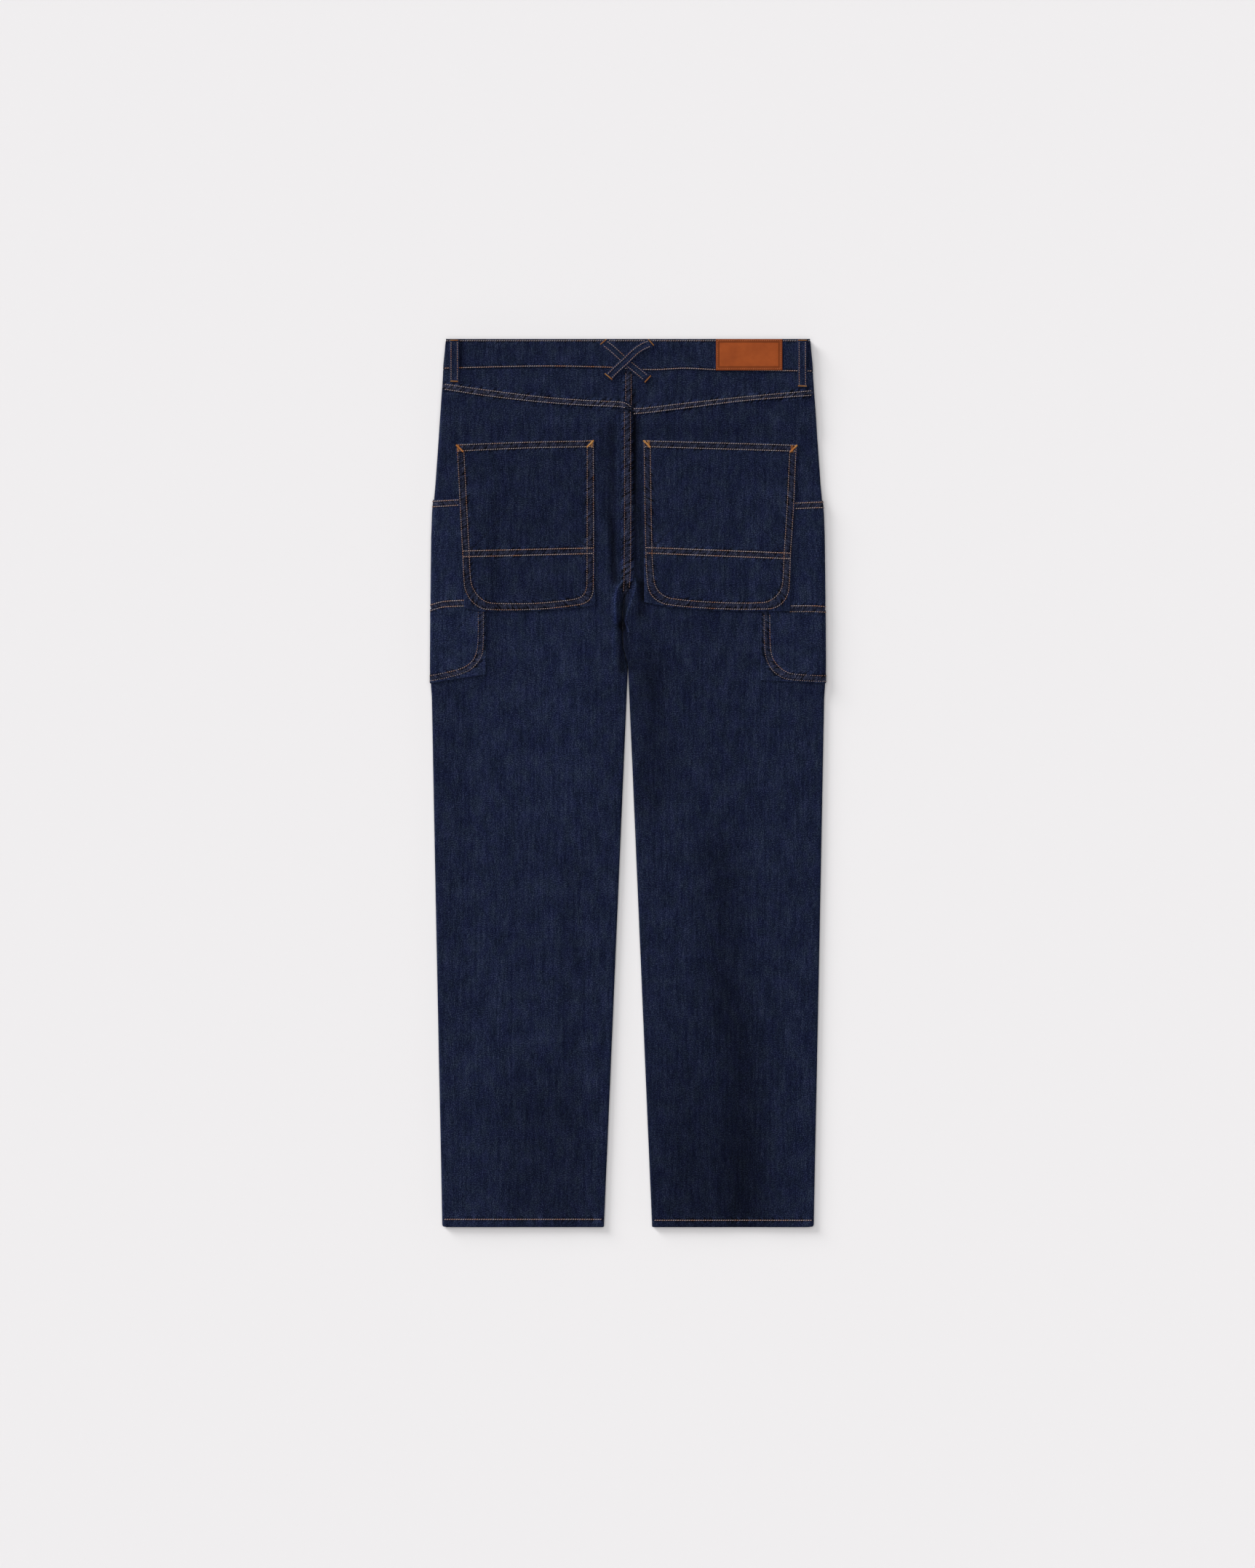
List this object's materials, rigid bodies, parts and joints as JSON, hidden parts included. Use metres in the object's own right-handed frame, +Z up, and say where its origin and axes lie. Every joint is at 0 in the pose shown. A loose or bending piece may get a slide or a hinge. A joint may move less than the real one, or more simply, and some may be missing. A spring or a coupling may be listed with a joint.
{
  "type": "cargo jeans laid flat",
  "caption": "Straight dark denim work jeans laid flat with the back up: yoke, patch pockets, wrap-round side pockets, belt loops and a bare leather patch.",
  "frame": {"origin": "middle of the bounding box, on the surface that the garment lies on", "axes": "+X across the garment, towards the leather patch; +Y along the legs, towards the waist; +Z up, out of the back of the garment"},
  "size_m": [0.478, 1.07, 0.0129],
  "materials": {
    "denim": "raw indigo twill, matt",
    "leather": "tan veg-tanned leather, satin",
    "metal": "antique copper-coloured, satin"
  },
  "bodies": {
    "root": {"waistband": "denim", "yoke_left": "denim", "yoke_right": "denim", "back_leg_left": "denim", "back_leg_right": "denim", "front_leg_left": "denim", "front_leg_right": "denim", "side_pocket_upper_left": "denim", "side_pocket_upper_right": "denim", "side_pocket_lower_left": "denim", "side_pocket_lower_right": "denim", "back_pocket_left": "denim", "back_pocket_right": "denim", "belt_loop_left": "denim", "belt_loop_right": "denim", "belt_loop_cross_under": "denim", "belt_loop_cross_over": "denim", "belt_loop_front_left": "denim", "belt_loop_front_right": "denim", "leather_patch": "leather", "waist_button": "metal"}
  },
  "joints": []
}
